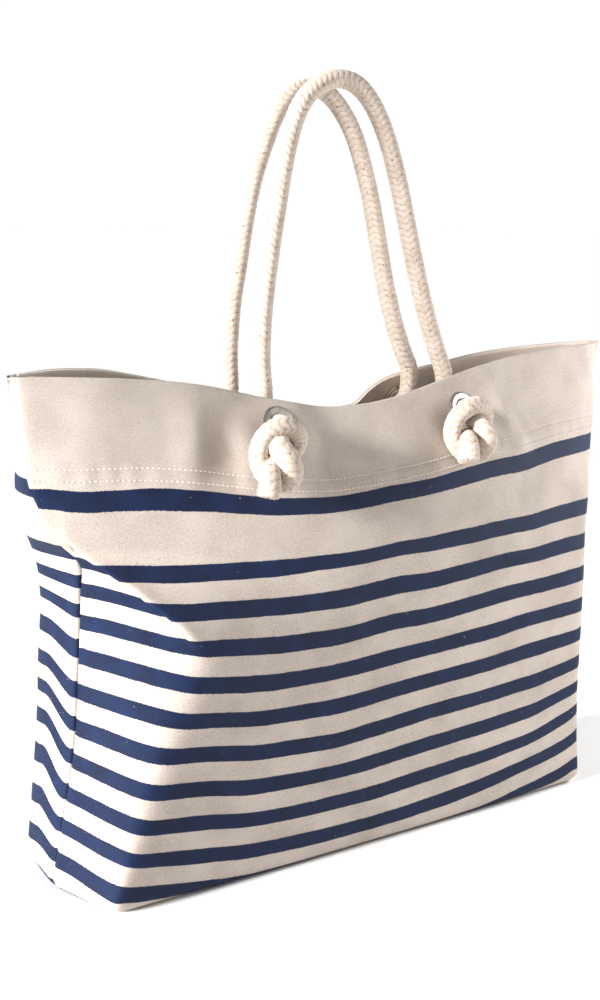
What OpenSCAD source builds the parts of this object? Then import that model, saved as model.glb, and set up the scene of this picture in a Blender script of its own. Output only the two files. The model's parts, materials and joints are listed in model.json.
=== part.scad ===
// Canvas weekender tote with two knotted rope handles.
// Front is -Y, left is -X, the bag stands on z = 0. Millimetres.

/* [Canvas body] */
// Width of the base from corner to corner
base_width = 444; // [400:2:480]
// Depth of the base from front to back
base_depth = 131; // [120:1:140]
// Height of the side seams above the floor
body_height = 350; // [330:2:380]
// How far the rim sags between the handles
rim_dip = 29; // [10:1:32]
// Half of the mouth's opening, front to back, at mid width
mouth_half = 34; // [32:1:38]
// Thickness of the canvas
canvas = 1.2; // [1:0.1:1.4]
// Depth of the doubled band along the rim
hem_depth = 65; // [60:1:76]
// Radius of the soft fold between walls and base
base_fold = 10; // [8:1:12]

/* [Rope handles] */
// Diameter of the braided rope
rope_d = 13; // [12:0.5:13]
// Distance between the two eyelets of one handle
eyelet_spacing = 176; // [170:2:180]
// Depth of the eyelet centres below the rim
eyelet_drop = 20; // [17:0.5:24]
// Inward lean of the front handle as it stands, in degrees
front_lean = 3; // [0:0.5:5]
// Outward lean of the back handle as it stands, in degrees
back_lean = 6; // [4:0.5:8]
// Length of the rope tails below the knots
tail_length = 24; // [18:1:26]

/* [Eyelets] */
// Radius of the eyelet's hole
eyelet_bore_r = 7.2; // [7:0.1:7.4]
// Outer radius of the eyelet's flange
eyelet_flange_r = 13; // [12:0.5:14]

/* [Hidden] */
$fn = 48;

// ---- the canvas wall, described by a section that keeps its girth at every height ----
corner_u = base_width / 2;
side_u = base_depth / 2;
half_girth = corner_u + side_u;
corner_span = 14;
top_boxiness = 0.1;
box_depth = 131;
rope_r = rope_d / 2;
layer_gap = 0.15;
sag_half_width = 200;
// Angle of the rim line at the side seams, so that the mouth opens by mouth_half
lens_angle = 2 * (mouth_half - side_u * sin(90 * top_boxiness)) / half_girth * 180 / PI;

// Columns: distances along the girth from mid front; the corner and the seam are among them
u_half = concat([for (k = [0:12]) (corner_u - 30) * k / 12],
    [for (d = [-18, -9, 0, 9, 18]) corner_u + d],
    [for (k = [1:4]) corner_u + 18 + (side_u - 18) * k / 4]);
corner_col = 15;
seam_col = 21;
base_rows = seam_col - corner_col;

// Rows: depths below the rim, the two rows of topstitching among them, then angles
// around the fold into the base
wall_height = body_height - base_fold;
stitch_rows = [hem_depth - 10, hem_depth - 2];
wall_rows = concat([0, 9, 18, 27, 40], stitch_rows, [hem_depth],
    [for (k = [1:9]) hem_depth + (wall_height - hem_depth) * k / 9]);
hem_row = 7;
fold_angles = [30, 60, 90];
last_row = len(wall_rows) + len(fold_angles) - 1;

function smooth(t) = let (s = max(0, min(1, t))) s * s * (3 - 2 * s);
function boxiness(depth) = top_boxiness + (1 - top_boxiness) * pow(min(1, depth / box_depth), 1.15);
function turn(u, w) = (1 - w) * lens_angle * u / half_girth
    + w * 90 * smooth((u - corner_u + corner_span) / (2 * corner_span));

// Half section as [x, y, turn] at each column, from mid front to the side seam
function half_section(w) = let (
    n = len(u_half),
    run = [for (i = 0, x = 0, y = 0; i < n;
        step = i + 1 < n ? u_half[i + 1] - u_half[i] : 0,
        mid = i + 1 < n ? turn((u_half[i] + u_half[i + 1]) / 2, w) : 0,
        x = x + step * cos(mid), y = y + step * sin(mid), i = i + 1) [x, y]],
    depth = run[n - 1][1])
    [for (i = [0:n - 1]) [run[i][0], run[i][1] - depth, turn(u_half[i], w)]];

function rim_height(u) = body_height
    - (abs(u) < sag_half_width ? rim_dip * pow(cos(90 * u / sag_half_width), 2) : 0);

function row_depth(r) = wall_rows[min(r, len(wall_rows) - 1)];
SECTIONS = [for (r = [0:last_row]) half_section(boxiness(row_depth(r)))];

// A point of the front wall, moved inwards by off: column c runs from -seam_col to seam_col
function wall_point(r, c, off) = let (
    k = abs(c),
    side = c < 0 ? -1 : 1,
    s = SECTIONS[r][k],
    fold = r < len(wall_rows) ? 0 : fold_angles[r - len(wall_rows)],
    inset = r < len(wall_rows) ? off : base_fold - (base_fold - off) * cos(fold),
    z = r < len(wall_rows)
        ? base_fold + (rim_height(u_half[k]) - base_fold) * (1 - wall_rows[r] / wall_height)
        : base_fold - (base_fold - off) * sin(fold))
    k == seam_col
        ? [side * (s[0] - inset / sin(s[2])), 0, z]
        : [side * (s[0] - inset * sin(s[2])), s[1] + inset * cos(s[2]), z];

// A point of the base: column c between the corners, row j from the fold to the base seam
function base_point(c, j, off) = let (
    front = wall_point(last_row, c, off),
    corner = wall_point(last_row, corner_col, off),
    edge = wall_point(last_row, corner_col + j, off))
    [front[0] * edge[0] / corner[0], front[1] * edge[1] / corner[1], front[2]];

// ---- closed shells over the wall's grid ----
wall_cols = 2 * seam_col + 1;
base_cols = 2 * corner_col - 1;
wall_count = (last_row + 1) * wall_cols;
function wall_id(r, c) = r * wall_cols + c + seam_col;
function base_id(c, j) = j == 0 ? wall_id(last_row, c)
    : c == -corner_col ? wall_id(last_row, -corner_col - j)
    : c == corner_col ? wall_id(last_row, corner_col + j)
    : wall_count + (j - 1) * base_cols + c + corner_col - 1;
function quad(a, b, c, d) = [[a, b, c], [a, c, d]];
function join(lists) = [for (l = lists) for (e = l) e];
function flipped(faces, shift) = [for (f = faces) [f[2] + shift, f[1] + shift, f[0] + shift]];

// Wall and half base as one sheet between the offsets outer and inner
module panel_shell(outer, inner) {
    function layer(off) = concat(
        [for (r = [0:last_row]) for (c = [-seam_col:seam_col]) wall_point(r, c, off)],
        [for (j = [1:base_rows]) for (c = [1 - corner_col:corner_col - 1]) base_point(c, j, off)]);
    skin = concat(
        join([for (r = [0:last_row - 1]) for (c = [-seam_col:seam_col - 1])
            quad(wall_id(r, c), wall_id(r, c + 1), wall_id(r + 1, c + 1), wall_id(r + 1, c))]),
        join([for (j = [0:base_rows - 1]) for (c = [-corner_col:corner_col - 1])
            quad(base_id(c, j), base_id(c + 1, j), base_id(c + 1, j + 1), base_id(c, j + 1))]));
    edge = concat([for (c = [-seam_col:seam_col]) wall_id(0, c)],
        [for (r = [1:last_row]) wall_id(r, seam_col)],
        [for (c = [corner_col - 1:-1:1 - corner_col]) base_id(c, base_rows)],
        [for (r = [last_row:-1:1]) wall_id(r, -seam_col)]);
    shell(layer(outer), layer(inner), skin, edge);
}

// A band of the wall between two rows, as a closed sheet
module band_shell(outer, inner, first, last) {
    function layer(off) = [for (r = [first:last]) for (c = [-seam_col:seam_col]) wall_point(r, c, off)];
    function id(r, c) = (r - first) * wall_cols + c + seam_col;
    skin = join([for (r = [first:last - 1]) for (c = [-seam_col:seam_col - 1])
        quad(id(r, c), id(r, c + 1), id(r + 1, c + 1), id(r + 1, c))]);
    edge = concat([for (c = [-seam_col:seam_col]) id(first, c)],
        [for (r = [first + 1:last]) id(r, seam_col)],
        [for (c = [seam_col - 1:-1:-seam_col]) id(last, c)],
        [for (r = [last - 1:-1:first + 1]) id(r, -seam_col)]);
    shell(layer(outer), layer(inner), skin, edge);
}

// Two layers of points with the same skin, closed along their common edge
module shell(outside, inside, skin, edge) {
    n = len(outside);
    m = len(edge);
    walls = join([for (k = [0:m - 1]) let (a = edge[k], b = edge[(k + 1) % m])
        quad(b, a, a + n, b + n)]);
    polyhedron(concat(outside, inside), concat(skin, flipped(skin, n), walls), convexity = 6);
}

// ---- where the eyelets sit on the front wall ----
function lerp(a, b, t) = a + (b - a) * t;
eyelet_u = eyelet_spacing / 2;
EYELET_SECTION = half_section(boxiness(eyelet_drop));
RIM_SECTION = half_section(boxiness(0));
function section_at(section, u) = let (
    i = [for (k = [0:len(u_half) - 2]) if (u_half[k] <= u) k],
    k = i[len(i) - 1])
    lerp(section[k], section[k + 1], (u - u_half[k]) / (u_half[k + 1] - u_half[k]));
eyelet_on_wall = section_at(EYELET_SECTION, eyelet_u);
rim_over_eyelet = section_at(RIM_SECTION, eyelet_u);
eyelet_z = base_fold + (rim_height(eyelet_u) - base_fold) * (1 - eyelet_drop / wall_height);
// The wall leans out below the rim, so the eyelets face a little upwards
eyelet_tilt = atan((rim_over_eyelet[1] - eyelet_on_wall[1]) / (rim_height(eyelet_u) - eyelet_z));
eyelet_yaw = eyelet_on_wall[2];

// Places children at an eyelet: local +Z points out of the bag, local +Y up the wall
module at_eyelet(side) {
    translate([side * eyelet_on_wall[0], eyelet_on_wall[1], eyelet_z])
        rotate([0, 0, side * eyelet_yaw]) rotate([90 - eyelet_tilt, 0, 0]) children();
}
module at_back() { rotate([0, 0, 180]) children(); }

module eyelet_hole(side) {
    at_eyelet(side) cylinder(r = eyelet_bore_r + 0.9, h = 30, center = true);
}

// ---- canvas pieces ----
canvas_colour = [0.88, 0.84, 0.78];
module panel() {
    color(canvas_colour) difference() {
        panel_shell(0, canvas);
        for (side = [-1, 1]) eyelet_hole(side);
    }
}
module hem_facing() {
    color([0.8, 0.74, 0.68]) difference() {
        band_shell(canvas + layer_gap, 2 * canvas + layer_gap, 0, hem_row);
        for (side = [-1, 1]) eyelet_hole(side);
    }
}

// Topstitching that holds the band down
thread = 0.5;
module hem_stitching() {
    color("ivory") for (depth = stitch_rows) stitch_line(depth);
}
module stitch_line(depth) {
    section = half_section(boxiness(depth));
    // Corners of the thread's own square section: [distance out of the wall, height]
    square_section = [[layer_gap, -thread / 2], [layer_gap + thread, -thread / 2],
        [layer_gap + thread, thread / 2], [layer_gap, thread / 2]];
    cols = [for (c = [1 - seam_col:seam_col - 1]) c];
    function at(c, q) = let (s = section[abs(c)], side = c < 0 ? -1 : 1)
        [side * (s[0] + q[0] * sin(s[2])), s[1] - q[0] * cos(s[2]),
        base_fold + (rim_height(u_half[abs(c)]) - base_fold) * (1 - depth / wall_height) + q[1]];
    tube([for (c = cols) [for (q = square_section) at(c, q)]]);
}

// A closed tube through rings that each hold the same number of points
module tube(rings) {
    n = len(rings[0]);
    last = len(rings) - 1;
    sides = join([for (r = [0:last - 1]) for (k = [0:n - 1]) let (j = (k + 1) % n)
        quad(r * n + k, r * n + j, (r + 1) * n + j, (r + 1) * n + k)]);
    polyhedron(join(rings), concat(sides,
        [[for (k = [n - 1:-1:0]) k]], [[for (k = [0:n - 1]) last * n + k]]), convexity = 6);
}

// ---- bindings over the raw edges of the seams, inside the bag ----
binding_width = 10;
binding_half = 1.5;
// First wall row of the side bindings, just below the doubled band
binding_row = hem_row + 1;
module side_seam_binding(side) {
    rows = [for (r = [binding_row:len(wall_rows) - 1]) r];
    function edge_x(r) = wall_point(r, seam_col, canvas)[0] - layer_gap
        - binding_half / tan(SECTIONS[r][seam_col][2]);
    profile = concat([for (r = rows) [side * edge_x(r), wall_point(r, seam_col, 0)[2]]],
        [for (k = [len(rows) - 1:-1:0])
            [side * (edge_x(rows[k]) - binding_width), wall_point(rows[k], seam_col, 0)[2]]]);
    color("wheat") rotate([90, 0, 0])
        linear_extrude(height = 2 * binding_half, center = true) polygon(profile);
}
binding_floor = canvas + layer_gap;
boxing_x = corner_u - base_fold - 1;
module base_seam_binding() {
    color("wheat") translate([0, 0, binding_floor + binding_half / 2])
        cube([2 * (boxing_x - binding_width - 2), binding_width, binding_half], center = true);
}
module boxing_seam_binding(side) {
    color("wheat")
        translate([side * (boxing_x - binding_width / 2), 0, binding_floor + binding_half / 2])
        cube([binding_width, base_depth - 2 * base_fold - 6, binding_half], center = true);
}

// ---- eyelets: a flanged barrel outside, rolled over a washer inside ----
stack = 2 * canvas + layer_gap;
flange_h = 1.8;
washer_h = 0.9;
washer_top = -stack - 0.3;
module eyelet(side) {
    barrel_r = eyelet_bore_r + 0.8;
    roll_r = eyelet_bore_r + 3;
    roll_z = washer_top - washer_h;
    color("silver") at_eyelet(side) rotate_extrude() polygon([
        [eyelet_bore_r, roll_z - 1], [roll_r, roll_z - 1], [roll_r, roll_z], [barrel_r, roll_z],
        [barrel_r, 0.3], [eyelet_flange_r, 0.3], [eyelet_flange_r, 0.9],
        [eyelet_flange_r - 1.5, flange_h], [eyelet_bore_r + 1.2, flange_h], [eyelet_bore_r, 0.8]]);
}
module washer(side) {
    color("gainsboro") at_eyelet(side) translate([0, 0, washer_top - washer_h]) difference() {
        cylinder(r = eyelet_flange_r - 0.5, h = washer_h);
        translate([0, 0, -1]) cylinder(r = eyelet_bore_r + 0.85, h = washer_h + 2);
    }
}

// ---- knots: the rope turns inside, passes out through the eyelet and is knotted ----
rope_colour = [0.93, 0.88, 0.8];
// The hinge line of a handle lies along the rim; the rope stands just inside it
hinge_y = rim_over_eyelet[1] + canvas;
hinge_z = rim_height(eyelet_u) + 2;
rope_inside = 9;
rope_y = hinge_y + rope_inside;
root_gap = 3.5;
turn_r = 8.5;
// The knot hangs below its eyelet, with a ring of rope around a crown and a tail
wrap_r = 12;
knot_drop = 19;
knot_stand = 10;
crown_r = 10;
crown_stand = 4;
tail_d = rope_d - 0.5;
tail_angle = 8;
// The straight lengths are a little thinner than the turn, and run into it
joint_overlap = 1;
straight_d = rope_d - 0.2;
module knot(side) {
    // Distance along the eyelet's axis from the wall to the standing leg
    reach = (rope_y - eyelet_on_wall[1]) / cos(eyelet_tilt);
    bend = 90 + eyelet_tilt;
    tangent = turn_r * tan(bend / 2);
    leg_bottom = eyelet_z - reach * sin(eyelet_tilt) + tangent;
    color(rope_colour) union() {
        // Standing leg below the hinge
        translate([side * eyelet_on_wall[0], rope_y, leg_bottom - joint_overlap])
            cylinder(d = straight_d, h = hinge_z - root_gap - leg_bottom + joint_overlap);
        // Turn into the eyelet
        translate([side * eyelet_on_wall[0], rope_y - turn_r, leg_bottom]) rotate([90, 0, 90])
            rotate([0, 0, -bend]) rotate_extrude(angle = bend) translate([turn_r, 0]) circle(d = rope_d);
        translate([side * eyelet_on_wall[0], eyelet_on_wall[1], eyelet_z])
            rotate([90 - eyelet_tilt, 0, 0]) {
            translate([0, 0, tangent - reach - joint_overlap])
                cylinder(d = straight_d, h = reach - tangent + joint_overlap + knot_stand);
            // Wraps, crown and tail of the knot
            translate([0, -knot_drop, knot_stand]) {
                rotate_extrude() translate([wrap_r, 0]) circle(r = rope_r + 0.4);
                translate([0, 0, crown_stand]) sphere(r = crown_r);
                rotate([90, 0, side * tail_angle])
                    cylinder(d = tail_d, h = wrap_r + rope_r + tail_length);
            }
        }
    }
}

// ---- handle ropes: [x, height above the hinge line] in the plane of each standing handle ----
front_route = [[-88, 0], [-90, 20], [-89, 47], [-86, 72], [-81, 102], [-76, 127], [-71, 152],
    [-64, 177], [-55, 195], [-43, 206], [-30, 212], [-17, 213], [-4, 209], [8, 199], [18, 185],
    [27, 167], [36, 142], [45, 112], [54, 82], [64, 52], [75, 25], [83, 8], [85, 0]];
back_route = [[-88, 0], [-88, 20], [-84, 52], [-77, 82], [-70, 112], [-61, 142], [-50, 167],
    [-40, 186], [-28, 200], [-14, 207], [0, 208], [13, 202], [25, 190], [35, 174], [43, 152],
    [50, 127], [56, 97], [62, 67], [70, 38], [79, 15], [84, 5], [85, 0]];
rope_sides = 12;
steps_per_span = 3;
function catmull(a, b, c, d, t) = 0.5 * (2 * b + (c - a) * t
    + (2 * a - 5 * b + 4 * c - d) * t * t + (3 * b - a - 3 * c + d) * t * t * t);
function curve(route) = let (n = len(route) - 1)
    concat([for (i = [0:n - 1]) for (s = [0:steps_per_span - 1])
        catmull(route[max(i - 1, 0)], route[i], route[i + 1], route[min(i + 2, n)], s / steps_per_span)],
        [route[n]]);
module handle_rope(route) {
    path = curve(route);
    n = len(path) - 1;
    rings = [for (i = [0:n]) let (
        d = path[min(i + 1, n)] - path[max(i - 1, 0)],
        across = [-d[1], d[0]] / norm(d))
        [for (k = [rope_sides - 1:-1:0]) let (a = 360 * k / rope_sides)
            [path[i][0] + rope_r * cos(a) * across[0], rope_r * sin(a), path[i][1] + rope_r * cos(a) * across[1]]]];
    color(rope_colour) tube(rings);
}
// The plane of a handle leans about the hinge line; the rope stands inside the line
module standing(lean) {
    translate([0, hinge_y, hinge_z]) rotate([lean, 0, 0]) translate([0, rope_inside, 0]) children();
}

module front_panel() panel();
module back_panel() at_back() panel();
module front_hem_facing() hem_facing();
module back_hem_facing() at_back() hem_facing();
module front_handle_rope() standing(-front_lean) handle_rope(front_route);
module back_handle_rope() at_back() standing(back_lean)
    handle_rope([for (k = [len(back_route) - 1:-1:0]) [-back_route[k][0], back_route[k][1]]]);

front_panel();
back_panel();
front_hem_facing();
back_hem_facing();
side_seam_binding(-1);  // left_side_seam_binding
side_seam_binding(1);  // right_side_seam_binding
base_seam_binding();
boxing_seam_binding(-1);  // left_boxing_seam_binding
boxing_seam_binding(1);  // right_boxing_seam_binding
hem_stitching();  // front_hem_stitching
at_back() hem_stitching();  // back_hem_stitching
eyelet(-1);  // front_left_eyelet
eyelet(1);  // front_right_eyelet
at_back() eyelet(1);  // back_left_eyelet
at_back() eyelet(-1);  // back_right_eyelet
washer(-1);  // front_left_washer
washer(1);  // front_right_washer
at_back() washer(1);  // back_left_washer
at_back() washer(-1);  // back_right_washer
knot(-1);  // front_left_knot
knot(1);  // front_right_knot
at_back() knot(1);  // back_left_knot
at_back() knot(-1);  // back_right_knot
front_handle_rope();
back_handle_rope();
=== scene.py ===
import json
import math

import bpy
import numpy as np
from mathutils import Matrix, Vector


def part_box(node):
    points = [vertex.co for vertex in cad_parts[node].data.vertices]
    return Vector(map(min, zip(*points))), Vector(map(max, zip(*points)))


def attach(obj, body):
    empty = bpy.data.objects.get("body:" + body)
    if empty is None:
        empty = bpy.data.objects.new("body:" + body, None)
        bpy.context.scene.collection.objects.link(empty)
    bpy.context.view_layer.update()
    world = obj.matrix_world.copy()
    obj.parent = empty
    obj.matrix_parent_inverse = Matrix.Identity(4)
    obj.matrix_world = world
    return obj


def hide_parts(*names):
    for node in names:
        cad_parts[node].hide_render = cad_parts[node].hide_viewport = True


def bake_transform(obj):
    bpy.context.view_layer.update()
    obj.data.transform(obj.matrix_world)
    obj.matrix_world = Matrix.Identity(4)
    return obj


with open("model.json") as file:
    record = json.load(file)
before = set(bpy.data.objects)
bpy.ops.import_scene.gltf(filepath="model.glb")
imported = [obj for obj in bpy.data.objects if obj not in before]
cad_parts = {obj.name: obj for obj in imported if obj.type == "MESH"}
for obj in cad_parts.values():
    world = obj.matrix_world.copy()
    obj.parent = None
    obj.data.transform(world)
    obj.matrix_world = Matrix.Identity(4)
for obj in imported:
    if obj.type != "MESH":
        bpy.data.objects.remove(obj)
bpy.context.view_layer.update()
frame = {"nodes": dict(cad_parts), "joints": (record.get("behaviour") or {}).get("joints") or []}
MM = 0.001


# ---------------------------------------------------------------- camera
def make_camera():
    """The photograph's viewpoint: in front of the bag, to its left, slightly above."""
    azimuth, elevation, roll = (math.radians(a) for a in (-40.0, 11.2, 2.3))
    distance, target = 1.245, Vector((-0.035, 0.0, 0.2498))
    focal_over_long_side = 1.721
    back = Vector((math.sin(azimuth) * math.cos(elevation),
                   -math.cos(azimuth) * math.cos(elevation), math.sin(elevation)))
    right = Vector((math.cos(azimuth), math.sin(azimuth), 0.0))
    up = back.cross(right)
    x_axis = math.cos(roll) * right + math.sin(roll) * up
    y_axis = math.cos(roll) * up - math.sin(roll) * right
    data = bpy.data.cameras.new("camera")
    data.sensor_width = 36.0
    data.lens = data.sensor_width * focal_over_long_side
    camera = bpy.data.objects.new("camera", data)
    bpy.context.scene.collection.objects.link(camera)
    place = camera.matrix_world
    for k in range(3):
        place[k][0], place[k][1], place[k][2] = x_axis[k], y_axis[k], back[k]
        place[k][3] = target[k] + distance * back[k]
    camera.matrix_world = place
    bpy.context.scene.camera = camera


# ---------------------------------------------------------------- small tools
def smooth(t):
    t = np.clip(t, 0.0, 1.0)
    return t * t * (3.0 - 2.0 * t)


def bump(x, centre, half_width):
    """1 at the centre, falling smoothly to 0 at half_width either side."""
    return smooth(1.0 - np.abs(np.asarray(x, float) - centre) / half_width)


def curve_through(x, keys):
    """A smooth curve through (x, value) keys, without overshoot, level beyond its ends."""
    keys = np.array(keys, float)
    kx, ky = keys[:, 0], keys[:, 1]
    step = np.diff(ky) / np.diff(kx)
    slope = np.zeros(len(kx))
    for i in range(1, len(kx) - 1):
        if step[i - 1] * step[i] > 0:
            slope[i] = 2 * step[i - 1] * step[i] / (step[i - 1] + step[i])
    slope[0], slope[-1] = step[0], step[-1]
    x = np.clip(np.asarray(x, float), kx[0], kx[-1])
    i = np.clip(np.searchsorted(kx, x, side="right") - 1, 0, len(kx) - 2)
    h = kx[i + 1] - kx[i]
    t = (x - kx[i]) / h
    return ((1 + 2 * t) * (1 - t) ** 2 * ky[i] + t * (1 - t) ** 2 * h * slope[i]
            + t * t * (3 - 2 * t) * ky[i + 1] + t * t * (t - 1) * h * slope[i + 1])


def make_mesh(name, points, faces, uv=None, values=None, materials=(), smooth_shading=True):
    """A mesh object from points in millimetres. uv is one pair per point, values are point attributes."""
    mesh = bpy.data.meshes.new(name)
    mesh.from_pydata((np.asarray(points, float) * MM).tolist(), [], [list(f) for f in faces])
    mesh.update()
    if uv is not None:
        layer = mesh.uv_layers.new(name="print")
        corner = np.zeros(len(mesh.loops), int)
        mesh.loops.foreach_get("vertex_index", corner)
        layer.data.foreach_set("uv", np.asarray(uv, np.float32)[corner].ravel())
    for key, value in (values or {}).items():
        mesh.attributes.new(key, "FLOAT", "POINT").data.foreach_set("value", np.asarray(value, np.float32))
    if smooth_shading:
        mesh.polygons.foreach_set("use_smooth", [True] * len(mesh.polygons))
    piece = bpy.data.objects.new(name, mesh)
    bpy.context.scene.collection.objects.link(piece)
    for material in materials:
        mesh.materials.append(material)
    return piece


def grid_faces(rows, cols, closed=False):
    """Quads of a grid of points stored row by row; closed joins the last column to the first."""
    faces = []
    for r in range(rows - 1):
        for c in range(cols if closed else cols - 1):
            d = (c + 1) % cols
            faces.append((r * cols + c, r * cols + d, (r + 1) * cols + d, (r + 1) * cols + c))
    return faces


def unit(v):
    return v / np.maximum(np.linalg.norm(v, axis=-1, keepdims=True), 1e-9)


# ---------------------------------------------------------------- node materials
class Nodes:
    """A short way to write a node material: each call adds one node and links its inputs."""

    def __init__(self, name):
        self.material = bpy.data.materials.new(name)
        self.material.use_nodes = True
        self.tree = self.material.node_tree
        self.shader = self.tree.nodes["Principled BSDF"]

    def add(self, kind, inputs=None, **settings):
        node = self.tree.nodes.new(kind)
        for key, value in settings.items():
            setattr(node, key, value)
        for key, value in (inputs or {}).items():
            self.plug(node.inputs[key], value)
        return node

    def plug(self, socket, value):
        if isinstance(value, bpy.types.NodeSocket):
            self.tree.links.new(value, socket)
        else:
            socket.default_value = value

    def math(self, operation, a, b=0.0, c=0.0):
        return self.add("ShaderNodeMath", {0: a, 1: b, 2: c}, operation=operation).outputs[0]

    def ramp(self, value, low, high, out_low=0.0, out_high=1.0):
        return self.add("ShaderNodeMapRange", {"Value": value, "From Min": low, "From Max": high,
                        "To Min": out_low, "To Max": out_high}, interpolation_type="SMOOTHSTEP").outputs[0]

    def mix(self, factor, a, b):
        node = self.add("ShaderNodeMix", data_type="RGBA")
        self.plug(node.inputs["Factor"], factor)
        self.plug(node.inputs["A"], a)
        self.plug(node.inputs["B"], b)
        return node.outputs["Result"]

    def noise(self, vector, scale, detail=3.0, roughness=0.55):
        return self.add("ShaderNodeTexNoise", {"Vector": vector, "Scale": scale, "Detail": detail,
                        "Roughness": roughness}).outputs["Fac"]

    def finish(self, colour, height=None, bump_distance=0.0003, strength=0.5, **sockets):
        self.plug(self.shader.inputs["Base Color"], colour)
        if height is not None:
            bumped = self.add("ShaderNodeBump", {"Height": height, "Distance": bump_distance,
                              "Strength": strength}).outputs["Normal"]
            self.plug(self.shader.inputs["Normal"], bumped)
        for key, value in sockets.items():
            self.plug(self.shader.inputs[key.replace("_", " ")], value)
        return self.material


def weave_height(n, uv, thread=0.9):
    """Plain weave: threads of about thread millimetres going over and under each other."""
    split = n.add("ShaderNodeSeparateXYZ", {"Vector": uv})
    wobble = n.noise(uv, 420.0, 2.0)
    turns = math.pi / (thread * MM)
    across = n.math("MULTIPLY_ADD", split.outputs["X"], turns, n.math("MULTIPLY", wobble, 2.2))
    along = n.math("MULTIPLY_ADD", split.outputs["Y"], turns, n.math("MULTIPLY", wobble, 2.2))
    over = n.math("MULTIPLY", n.math("SINE", across), n.math("SINE", along))
    return n.math("ADD", n.math("MULTIPLY", over, 0.5), n.math("MULTIPLY", n.noise(uv, 1500.0, 2.0), 0.9))


CANVAS_LIGHT = (0.56, 0.485, 0.43, 1.0)
CANVAS_DARK = (0.43, 0.365, 0.315, 1.0)
# Painted light: the inside is the same cotton as the outside, painted much lighter to stand for light falling
# over the rim into the bag
CANVAS_INSIDE_PAINTED_LIGHT = (0.84, 0.725, 0.63, 1.0)
NAVY_LIGHT = (0.006, 0.020, 0.075, 1.0)
NAVY_DARK = (0.003, 0.006, 0.022, 1.0)

# The print: depths below the rim, in metres
FIRST_STRIPE = (0.0675, 0.0795)
SECOND_STRIPE_TOP = 0.1115
STRIPE_PITCH = 0.0257
STRIPE_WIDTH = 0.0118


def canvas_colour(n, uv, light, dark):
    """Undyed cotton: cloudy tone, thread by thread variation and a few dark seed flecks."""
    cloudy = n.noise(uv, 26.0, 4.0)
    threads = n.noise(uv, 700.0, 2.0)
    tone = n.math("ADD", n.math("MULTIPLY", cloudy, 0.5), n.math("MULTIPLY", threads, 0.5))
    base = n.mix(n.ramp(tone, 0.36, 0.62), dark, light)
    flecks = n.ramp(n.noise(uv, 330.0, 1.0), 0.735, 0.76)
    return n.mix(n.math("MULTIPLY", flecks, 0.55), base, (0.30, 0.20, 0.13, 1.0))


def printed_canvas_material():
    n = Nodes("printed_canvas")
    uv = n.add("ShaderNodeUVMap", uv_map="print").outputs[0]
    cotton = canvas_colour(n, uv, CANVAS_LIGHT, CANVAS_DARK)
    depth = n.add("ShaderNodeSeparateXYZ", {"Vector": uv}).outputs["Y"]
    # The print's edge wanders a little and is ragged where it bridges the threads
    wander = n.math("MULTIPLY", n.math("SUBTRACT", n.noise(uv, 28.0, 2.0), 0.5), 0.0018)
    ragged = n.math("MULTIPLY", n.math("SUBTRACT", n.noise(uv, 900.0, 1.0), 0.5), 0.0012)
    place = n.math("ADD", depth, n.math("ADD", wander, ragged))
    soft = 0.0002

    def band(value, low, high):
        return n.math("MULTIPLY", n.ramp(value, low - soft, low + soft),
                      n.ramp(value, high + soft, high - soft))

    first = band(place, *FIRST_STRIPE)
    second_middle = SECOND_STRIPE_TOP + STRIPE_WIDTH / 2
    repeat = n.math("PINGPONG", n.math("SUBTRACT", place, second_middle), STRIPE_PITCH / 2)
    below = n.ramp(place, SECOND_STRIPE_TOP - 0.004, SECOND_STRIPE_TOP - 0.003)
    others = n.math("MULTIPLY", below,
                    n.ramp(repeat, STRIPE_WIDTH / 2 + soft, STRIPE_WIDTH / 2 - soft))
    ink = n.math("MAXIMUM", first, others)
    missed = n.ramp(n.noise(uv, 520.0, 1.0), 0.77, 0.80)
    ink = n.math("MULTIPLY", ink, n.math("SUBTRACT", 1.0, n.math("MULTIPLY", missed, 0.8)))
    grain = n.math("ADD", n.math("MULTIPLY", n.noise(uv, 1300.0, 2.0), 0.7),
                   n.math("MULTIPLY", n.noise(uv, 60.0), 0.3))
    navy = n.mix(n.ramp(grain, 0.38, 0.66), NAVY_DARK, NAVY_LIGHT)
    return n.finish(n.mix(ink, cotton, navy), weave_height(n, uv), 0.0004, 0.55,
                    Roughness=n.ramp(ink, 0.0, 1.0, 0.92, 0.70), Specular_IOR_Level=0.2,
                    Sheen_Weight=0.03, Sheen_Roughness=0.5)


def plain_canvas_material(name, light, dark):
    n = Nodes(name)
    uv = n.add("ShaderNodeUVMap", uv_map="print").outputs[0]
    return n.finish(canvas_colour(n, uv, light, dark), weave_height(n, uv), 0.0004, 0.5,
                    Roughness=0.93, Sheen_Weight=0.25, Sheen_Roughness=0.5)


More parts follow.
